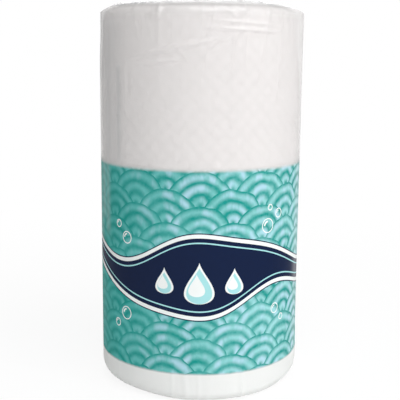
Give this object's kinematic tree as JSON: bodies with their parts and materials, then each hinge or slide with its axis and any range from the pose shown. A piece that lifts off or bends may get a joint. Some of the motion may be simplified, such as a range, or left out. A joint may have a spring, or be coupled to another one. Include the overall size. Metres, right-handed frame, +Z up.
{
  "type": "paper towel roll",
  "caption": "Kitchen paper towel roll standing on end: a thick white wound web on a card core, sealed in clear film with a printed aqua band and folded ends.",
  "frame": {"origin": "middle of the bottom, on the lowest folded flap of the film", "axes": "+Z up along the roll's axis, -Y towards the front of the printed band, +Y towards the film's lap seam"},
  "size_m": [0.151, 0.1511, 0.2805],
  "materials": {
    "film": "clear gloss film with a printed aqua band",
    "towel": "soft white embossed tissue",
    "card": "brown spiral-wound card"
  },
  "bodies": {
    "root": {"film_wrap": "film", "towel_roll": "towel", "core_tube": "card"}
  },
  "joints": []
}
